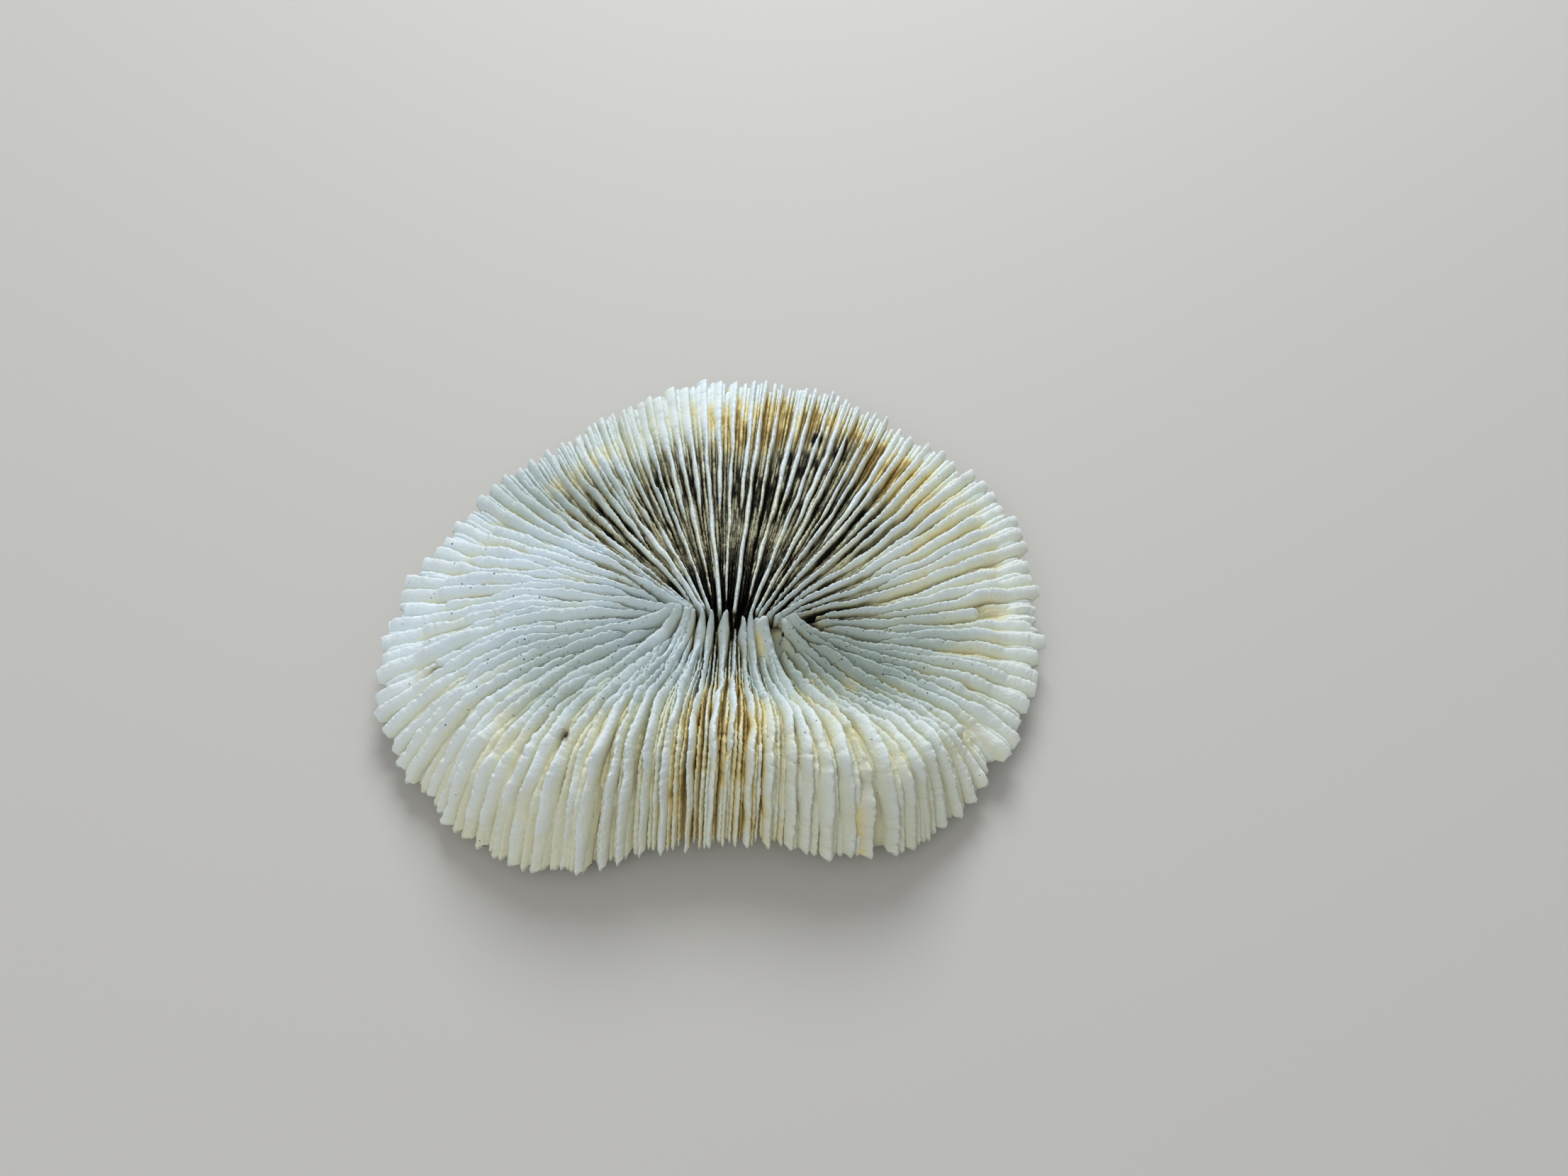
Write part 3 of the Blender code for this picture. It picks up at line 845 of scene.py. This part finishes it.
def colour_layers(points, depth, own_depth, share, streak, stub):
    """At each point its depth, the dark, gold, cream and specks as one colour, and the grey-green patches,
    with the depth driving painted shade, painted shade in the dark and the patches, and a painted
    warm cast in the cream.
    """
    azimuth = np.degrees(np.arctan2(points[:, 1], points[:, 0])) % 360
    polar = azimuth, np.hypot(points[:, 0], points[:, 1]), streak
    dark = dark_stain_and_shade(points, polar, depth, own_depth)
    gold = gold_stain(points, polar, depth, own_depth, stub * ramp(0.84, 0.93, share))
    cream = cream_tint(points, polar, share)
    table = np.stack([dark, gold, cream, spots(points, SPECK_SPOTS).sum(0)], 1)
    dull_and_shade = spots(points, DULL_AND_SHADE_SPOTS).max(0)
    return {"depth": depth, "marks": np.clip(table, 0, 1), "dull_and_shade": np.clip(dull_and_shade, 0, 1)}


def build_plates(form, rng, name, size_name, azimuths, indices, starts, late=None, spacings=None):
    """One piece holding all the plates given, each in a cell of its own on the texture map."""
    size = PLATE_SIZES[size_name]
    late = np.zeros(len(azimuths), bool) if late is None else late
    spacings = [LESSER_SPACING] * len(azimuths) if spacings is None else spacings
    plates, faces = [], []
    offset = 0
    for azimuth, index, start, rises_late, spacing in zip(azimuths, indices, starts, late, spacings):
        scatter = math.sin(index * 2.399) * math.cos(index * 0.731 + 1)
        tip_change = TIP_SCATTER * scatter - size["tip_back"] * rng.uniform(0.4, 1.3)
        if rng.uniform() < SHORT_CHANCE:
            tip_change -= rng.uniform(0.8, 2)
        tip_change -= shorter_by(azimuth)
        plate = Plate(form, rng, size, azimuth, tip_change, start, rises_late, spacing)
        rows, columns = plate.points.shape[:2]
        faces.append(grid_faces(rows, columns, offset))
        offset += rows * columns
        plates.append(plate)

    points = np.vstack([plate.points.reshape(-1, 3) for plate in plates])
    points[:, 2] = np.maximum(points[:, 2], GROUND_GAP)
    pressed = TOP_BEND + TOP_PRESSED * (points[:, 2] - TOP_BEND)
    points[:, 2] = np.where(points[:, 2] > TOP_BEND, pressed, points[:, 2])
    layers = {key: np.concatenate([plate.layers[key] for plate in plates]) for key in plates[0].layers}
    faces = np.vstack(faces)
    return mesh_object(name, points, faces, colour_layers(points, **layers), plate_cells(plates))


def plate_cells(plates):
    """Texture places: the plates side by side in lanes, each one flat and a little apart."""
    lanes = max(1, round(math.sqrt(len(plates) / 6)))
    ranks = math.ceil(len(plates) / lanes)
    longest = max(plate.runs.max() for plate in plates) + 3
    cells = []
    for k, plate in enumerate(plates):
        rows, columns = plate.points.shape[:2]
        u = (k % lanes + 0.01 + 0.98 * (np.repeat(plate.runs, columns) + 2.5) / longest) / lanes
        side = np.tile(np.linspace(0.04, 0.96, columns), rows)
        cells.append(np.stack([u, (k // lanes + side) / ranks], 1))
    return np.vstack(cells)


def wall_level(share, rim_height):
    """Height of the wall's underside: the hollow, the rest ring and the slope up to the rim."""
    heights = {0: HOLLOW_HEIGHT, HOLLOW_SHARE: HOLLOW_HEIGHT, REST_RING_INNER: 0, REST_RING_OUTER: 0,
               UNDER_RIM_SHARE: 1}
    level = smooth_curve(tuple(heights), tuple(heights.values()), np.array([share]))[0, 0]
    return level * (rim_height - UNDER_RIM_DROP) if share > REST_RING_OUTER else level


def build_wall(form):
    """The wall that the plates stand on: gap floors above, ribs beneath."""
    columns = PLATE_COUNT * WALL_COLUMNS_PER_PLATE
    azimuth = form.spaced_azimuths(np.arange(columns) / columns)
    inset = -shorter_by(azimuth) - WALL_INSET
    rows = []
    pit = form.gap_floor(azimuth, np.zeros(columns))[0]
    for squeeze, sink in PIT_RINGS:
        rows.append((pit * (1, squeeze, 1) - (0, 0, sink), np.ones(columns), 0))
    for share in np.linspace(0, 1, WALL_TOP_ROWS):
        floor, gap = form.gap_floor(azimuth, np.full(columns, share), inset)
        rows.append((floor, shallow_share(gap), share))
    rim_height = form.crest_height(azimuth, np.ones(columns))
    phase = 2 * math.pi * np.arange(columns) / WALL_COLUMNS_PER_PLATE
    ribs = 0.55 * (0.5 - 0.5 * np.cos(phase)) + 0.45 * (0.5 - 0.5 * np.cos(2 * phase))
    for share in np.linspace(UNDER_RIM_SHARE, 0.02, WALL_UNDER_ROWS):
        plan = form.plate_line(azimuth, np.full(columns, share), inset)
        height = wall_level(share, rim_height) + (0.22 + 0.33 * share) * ramp(0.05, 0.3, share) * ribs
        rows.append((np.column_stack([plan, height]), np.full(columns, WALL_SHADE), share))

    # A point in the middle of the hollow closes the last row
    centre, last = len(rows) * columns, (len(rows) - 1) * columns
    points, depth, share = zip(*rows)
    points = np.vstack([*points, [[0, 0, HOLLOW_HEIGHT]]])
    depth = np.append(np.concatenate(depth), WALL_SHADE)
    share = np.append(np.repeat(share, columns), 0)
    faces = list(grid_faces(len(rows), columns, 0, closed=True))
    faces += [np.array([last + k, last + (k + 1) % columns, centre]) for k in range(columns)]
    streak = 0.7 * np.sin(points[:, 0] * 0.83 + 1.7 * np.sin(points[:, 1] * 0.31))
    layers = colour_layers(points, depth, np.ones_like(depth), share, streak, np.zeros_like(depth))
    under = np.arange(len(points)) >= (len(PIT_RINGS) + WALL_TOP_ROWS) * columns
    layers["marks"][:, 0] *= 1 - under
    layers["marks"][:, 1] *= 1 - 0.7 * under
    return mesh_object("coral_wall", points, faces, layers)


# Colours of the stone and its stains, and of the light and shade painted into them
# Cool white: the stone's white with a painted cool cast of the window light
COOL_WHITE = (0.69, 0.8, 0.905, 1)
# Painted highlight laid along the crests
CREST_HIGHLIGHT = (0.79, 0.855, 0.885, 1)
# Cream: the stone's own warmer tint, also used for a painted warm cast on the right and front and for
# painted shade down the flanks
CREAM = (0.745, 0.75, 0.58, 1)
POWDER = (0.52, 0.53, 0.46, 1)
MOTTLE = (0.6, 0.63, 0.58, 1)
STRAW = (0.7, 0.6, 0.3, 1)
# Olive: the gap floors with depth, partly their own tint and partly painted shade
OLIVE_FLOOR_SHADE = (0.43, 0.42, 0.27, 1)
# Grey-green of the patches: partly dinge, partly painted shade of the hollows
DULL_AND_SHADE = (0.38, 0.45, 0.42, 1)
AMBER = (0.32, 0.23, 0.085, 1)
# Tan, brown and soot: the dark stain in steps, partly painted shade in the gaps and at the slit
TAN = (0.45, 0.435, 0.3, 1)
BROWN = (0.12, 0.11, 0.07, 1)
SOOT = (0.014, 0.013, 0.011, 1)
SPECK = (0.03, 0.035, 0.035, 1)
# How high the fine grain stands, in metres
GRAIN_DISTANCE = 0.0004


class Nodes:
    """A material's nodes, with a short form of each kind that is used."""

    def __init__(self, material):
        material.use_nodes = True
        self.tree = material.node_tree
        self.shader = self.tree.nodes["Principled BSDF"]
        self.place = self.new("TexCoord", {}).outputs["Object"]

    def link(self, value, socket):
        if isinstance(value, (int, float, tuple)):
            socket.default_value = value
        else:
            self.tree.links.new(value, socket)

    def new(self, kind, inputs, **settings):
        """A node with its settings made first, and then its inputs set or linked."""
        node = self.tree.nodes.new("ShaderNode" + kind)
        for name, value in settings.items():
            setattr(node, name, value)
        for key, value in inputs.items():
            self.link(value, node.inputs[key])
        return node

    def attribute(self, name):
        return self.new("Attribute", {}, attribute_name=name)

    def split(self, colour):
        return self.new("SeparateColor", {"Color": colour}).outputs

    def calculate(self, operation, a, b, clamp=False):
        return self.new("Math", {0: a, 1: b}, operation=operation, use_clamp=clamp).outputs[0]

    def plus(self, a, b):
        return self.calculate("ADD", a, b)

    def times(self, a, b, clamp=False):
        return self.calculate("MULTIPLY", a, b, clamp)

    def mix(self, amount, a, b):
        return self.new("Mix", {"Factor": amount, "A": a, "B": b}, data_type="RGBA").outputs["Result"]

    def noise(self, scale, detail, roughness=0.55):
        inputs = {"Vector": self.place, "Scale": scale, "Detail": detail, "Roughness": roughness}
        return self.new("TexNoise", inputs).outputs["Fac"]

    def remap(self, value, low, high, to_low=0, to_high=1):
        inputs = {"Value": value, "From Min": low, "From Max": high, "To Min": to_low, "To Max": to_high}
        return self.new("MapRange", inputs, interpolation_type="SMOOTHSTEP").outputs["Result"]

    def stirred(self, amount, pattern, strength):
        """An amount made uneven by a pattern around 0.5, and left at 0 where it is 0."""
        change = self.times(self.calculate("SUBTRACT", pattern, 0.5), strength)
        return self.times(amount, self.plus(change, 1), clamp=True)


def stone_colour(nodes, cream, broad, middle):
    """Cool white to cream, partly painted casts of light; painted shade, creamier down the flanks and
    olive on the gap floors, partly their own tint; a painted crest highlight; a little powder and mottling.
    """
    depth = nodes.attribute("depth").outputs["Fac"]
    # Base colour: cool white to cream, partly a painted cast of cool and warm light
    colour = nodes.mix(nodes.stirred(cream, broad, 1.2), COOL_WHITE, CREAM)
    # Painted shade, partly the stone's tint: creamier down the flanks, olive on the gap floors
    flank = nodes.times(nodes.remap(depth, 0.03, 0.3, 0, 0.9), nodes.remap(cream, 0, 0.25, 0.35, 1))
    colour = nodes.mix(nodes.stirred(flank, middle, 0.6), colour, CREAM)
    floor = nodes.remap(depth, 0.28, 0.85, 0, 0.9)
    colour = nodes.mix(nodes.stirred(floor, middle, 0.8), colour, OLIVE_FLOOR_SHADE)
    # Painted highlight along the crests
    colour = nodes.mix(nodes.remap(depth, 0, 0.16, 0.45, 0), colour, CREST_HIGHLIGHT)
    powder = nodes.remap(nodes.noise(4200, 2), 0.3, 0.7, 0, 0.11)
    colour = nodes.mix(powder, colour, POWDER)
    colour = nodes.mix(nodes.remap(middle, 0.35, 0.75, 0, 0.16), colour, MOTTLE)
    # Grey-green patches, partly dinge and partly painted shade of the hollows
    dull_and_shade = nodes.attribute("dull_and_shade").outputs["Fac"]
    return nodes.mix(nodes.stirred(dull_and_shade, broad, 0.6), colour, DULL_AND_SHADE)


def stained_and_shaded(nodes, colour, dark, gold, middle):
    """Straw to amber where it is golden, and tan to soot where it is dark, partly painted shade."""
    uneven = nodes.stirred(gold, middle, 1.3)
    colour = nodes.mix(nodes.remap(uneven, 0.03, 0.5), colour, STRAW)
    colour = nodes.mix(nodes.remap(uneven, 0.38, 0.88), colour, AMBER)
    speckle = nodes.noise(800, 5, 0.7)
    dirty = nodes.stirred(dark, nodes.times(nodes.plus(speckle, middle), 0.5), 3.2)
    colour = nodes.mix(nodes.remap(dirty, 0.02, 0.22), colour, TAN)
    colour = nodes.mix(nodes.remap(dirty, 0.18, 0.52), colour, BROWN)
    return nodes.mix(nodes.remap(dirty, 0.42, 0.8), colour, SOOT)


def specked(nodes, colour, specks, broad):
    """Dark dots of uneven size and strength, in cells chosen by chance."""
    cells = nodes.new("TexVoronoi", {"Vector": nodes.place, "Scale": 1500})
    chance, size, shade = nodes.split(cells.outputs["Color"])
    edge = nodes.plus(nodes.times(size, 0.2), 0.1)
    dot = nodes.remap(cells.outputs["Distance"], edge, nodes.plus(edge, 0.08), 1, 0)
    crowd = nodes.remap(broad, 0.38, 0.62, 0.06, 0.6)
    chosen = nodes.calculate("LESS_THAN", chance, nodes.times(specks, crowd))
    strength = nodes.plus(nodes.times(shade, 0.75), 0.25)
    dots = nodes.times(nodes.times(dot, chosen), strength, clamp=True)
    return nodes.mix(dots, colour, SPECK)


def coral_material(name, grain):
    """Chalky aragonite: cool white to cream, with a painted crest highlight, stains and painted shade
    in the gaps, dark specks and a fine grain.
    """
    material = bpy.data.materials.new(name)
    nodes = Nodes(material)
    marks = nodes.attribute("marks").outputs
    dark, gold, cream = nodes.split(marks["Color"])
    broad, middle, fine = nodes.noise(45, 4), nodes.noise(260, 4), nodes.noise(1500, 3)
    colour = stone_colour(nodes, cream, broad, middle)
    colour = stained_and_shaded(nodes, colour, dark, gold, middle)
    colour = specked(nodes, colour, marks["Alpha"], broad)
    nodes.link(colour, nodes.shader.inputs["Base Color"])
    nodes.link(nodes.remap(fine, 0.25, 0.75, 0.74, 0.95), nodes.shader.inputs["Roughness"])
    nodes.link(0.12, nodes.shader.inputs["Specular IOR Level"])
    relief = nodes.plus(fine, nodes.times(middle, 1.2))
    bump = nodes.new("Bump", {"Strength": grain, "Distance": GRAIN_DISTANCE, "Height": relief})
    nodes.link(bump.outputs["Normal"], nodes.shader.inputs["Normal"])
    return material


FLOOR_HALF = 1.6
FLOOR_COLOUR = (0.475, 0.46, 0.435, 1)
FLOOR_ROUGHNESS = 0.7
SKY_COLOUR = (0.93, 0.96, 1, 1)
SKY_STRENGTH = 0.47
# Lamps: name, place, width, power and colour
LAMPS = (
    ("window", (-0.06, 0.86, 0.8), 0.6, 11.1, (0.95, 0.98, 1)),
    ("room", (-0.3, -0.7, 0.8), 1, 3, (1, 0.97, 0.9)),
)


def add_floor():
    data = bpy.data.meshes.new("floor")
    corners = [(x * FLOOR_HALF, y * FLOOR_HALF, 0) for x, y in ((-1, -1), (1, -1), (1, 1), (-1, 1))]
    data.from_pydata(corners, [], [(0, 1, 2, 3)])
    floor = new_object("floor", data)
    material = bpy.data.materials.new("pale_floor")
    material.use_nodes = True
    shader = material.node_tree.nodes["Principled BSDF"]
    shader.inputs["Base Color"].default_value = FLOOR_COLOUR
    shader.inputs["Roughness"].default_value = FLOOR_ROUGHNESS
    data.materials.append(material)


def add_lights():
    """A pale sky, a window behind the coral and the room's light in front, all aimed at its middle."""
    world = bpy.data.worlds.new("studio")
    world.use_nodes = True
    background = world.node_tree.nodes["Background"]
    background.inputs["Color"].default_value = SKY_COLOUR
    background.inputs["Strength"].default_value = SKY_STRENGTH
    bpy.context.scene.world = world
    for name, place, width, power, colour in LAMPS:
        data = bpy.data.lights.new(name, "AREA")
        data.shape = "DISK"
        data.size = width
        data.energy = power
        data.color = colour
        lamp = new_object(name, data)
        lamp.location = place
        lamp.rotation_euler = (-Vector(place)).to_track_quat("-Z", "Y").to_euler()


# The photograph's camera: worked out from the tabletop's staves, over the part's frame
CAMERA_PLACE = (0.013285, -0.138459, 0.2145)
CAMERA_PITCH = 55.69
CAMERA_ROLL = 5.96
PHOTO_WIDTH = 2212
FOCAL_PIXELS = 1600
SENSOR_WIDTH = 36


def add_camera():
    data = bpy.data.cameras.new("camera")
    data.sensor_fit = "HORIZONTAL"
    data.sensor_width = SENSOR_WIDTH
    data.lens = FOCAL_PIXELS / PHOTO_WIDTH * SENSOR_WIDTH
    data.clip_start = 0.01
    camera = new_object("camera", data)
    tilt = Matrix.Rotation(math.radians(90 - CAMERA_PITCH), 4, "X")
    roll = Matrix.Rotation(math.radians(CAMERA_ROLL), 4, "Z")
    camera.matrix_world = Matrix.Translation(CAMERA_PLACE) @ tilt @ roll
    bpy.context.scene.camera = camera


def by_quarter(form, rng, size_name, azimuths, kept, *values):
    """A piece for each quarter with the plates that are kept."""
    pieces = []
    for k, side in enumerate(("back_right", "back_left", "front_left", "front_right")):
        chosen = kept & (azimuths // 90 == k)
        pieces.append(build_plates(form, rng, size_name + "_plates_" + side, size_name, azimuths[chosen],
                                   *(value[chosen] for value in values)))
    return pieces


def in_front_middle(azimuths):
    return np.abs(azimuths - FRONT_MIDDLE) < FRONT_MIDDLE_WIDTH


def main_pieces(form, rng, places):
    """The main plates, in an order of long, short and late ones, by quarter."""
    azimuths = form.spaced_azimuths(places)
    index = np.arange(PLATE_COUNT)
    by_four, by_eight = index % 4, index % 8
    front_middle = in_front_middle(azimuths)
    starts = np.array(STARTS)[by_eight]
    valley = (azimuths > VALLEY_RANGE[0]) & (azimuths < VALLEY_RANGE[1])
    starts = np.where(valley, VALLEY_SOONER * starts, starts)
    in_fan = np.sin(np.radians(azimuths)) > FAN_LEAST_SINE
    starts = np.where(in_fan, np.array(FAN_STARTS)[by_four], starts)
    starts = np.where(front_middle, np.array(MIDDLE_STARTS)[by_four], starts)
    starts = starts * rng.uniform(0.85, 1.2, PLATE_COUNT)
    late = (index % 2 == 1) & ~front_middle
    near = np.where(front_middle, np.array(MIDDLE_SPACINGS)[by_four], np.array(MOUTH_SPACINGS)[by_eight])
    far = np.where(late | front_middle, 1, 2)
    widest = by_eight == 0
    spacings = np.stack([near, far, np.where(widest, 0.08, 0.05), np.where(widest, 0.2, 0.14)], 1)
    every = np.ones(PLATE_COUNT, bool)
    return by_quarter(form, rng, "main", azimuths, every, index, starts, late, spacings)


def middle_piece(form, rng, places, aside):
    """The middle plates, one beside each main one."""
    places = places + (0.5 + aside + rng.uniform(-0.08, 0.08, PLATE_COUNT)) / PLATE_COUNT
    azimuths = form.spaced_azimuths(places)
    starts = np.where(in_front_middle(azimuths), 0.03, 0.13) + rng.uniform(0, 0.07, PLATE_COUNT)
    starts -= 0.08 * window(azimuths, *BACK_FAN_RANGE)
    kept = np.abs(azimuths - STUB_AZIMUTH) > BARE_HALF_WIDTH
    index = np.arange(PLATE_COUNT) + MIDDLE_FIRST
    return build_plates(form, rng, "middle_plates", "middle", azimuths[kept], index[kept], starts[kept])


def fine_pieces(form, rng, places, aside):
    """The fine plates, two beside each main one, by quarter."""
    count = 2 * PLATE_COUNT
    places = np.concatenate([places + (between + aside * 0.7) / PLATE_COUNT for between in (0.25, 0.75)])
    places += rng.uniform(-0.03, 0.03, count) / PLATE_COUNT
    azimuths = form.spaced_azimuths(places)
    starts = np.where(in_front_middle(azimuths), 0.08, 0.28) + rng.uniform(0, 0.1, count)
    starts -= 0.16 * window(azimuths, *BACK_FAN_RANGE)
    kept = np.abs(azimuths - STUB_AZIMUTH) > BARE_HALF_WIDTH
    index = np.arange(count) + FINE_FIRST
    return by_quarter(form, rng, "fine", azimuths, kept, index, starts)


def main():
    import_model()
    rng = np.random.default_rng(SEED)
    form = Form()

    add_camera()
    add_lights()
    add_floor()
    bpy.context.scene.view_settings.view_transform = "Standard"

    places = (np.arange(PLATE_COUNT) + rng.uniform(-0.17, 0.17, PLATE_COUNT)) / PLATE_COUNT
    pieces = main_pieces(form, rng, places)
    # The lesser plates stand in the hollow that the wide flanks leave
    azimuths = form.spaced_azimuths(places)
    spread = np.interp(azimuths, form.steps, form.flank_spread[:, 1])
    aside = 0.22 * spread * np.where((azimuths > 90) & (azimuths < 270), 1, -1)
    pieces.append(middle_piece(form, rng, places, aside))
    pieces += fine_pieces(form, rng, places, aside)
    wall = build_wall(form)

    plate_look = coral_material("coral_plates", 0.5)
    wall_look = coral_material("coral_wall_stone", 0.6)
    for piece in pieces:
        piece.data.materials.append(plate_look)
    wall.data.materials.append(wall_look)
    for piece in pieces + [wall]:
        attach(piece, "root")
        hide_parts(NODE)


main()
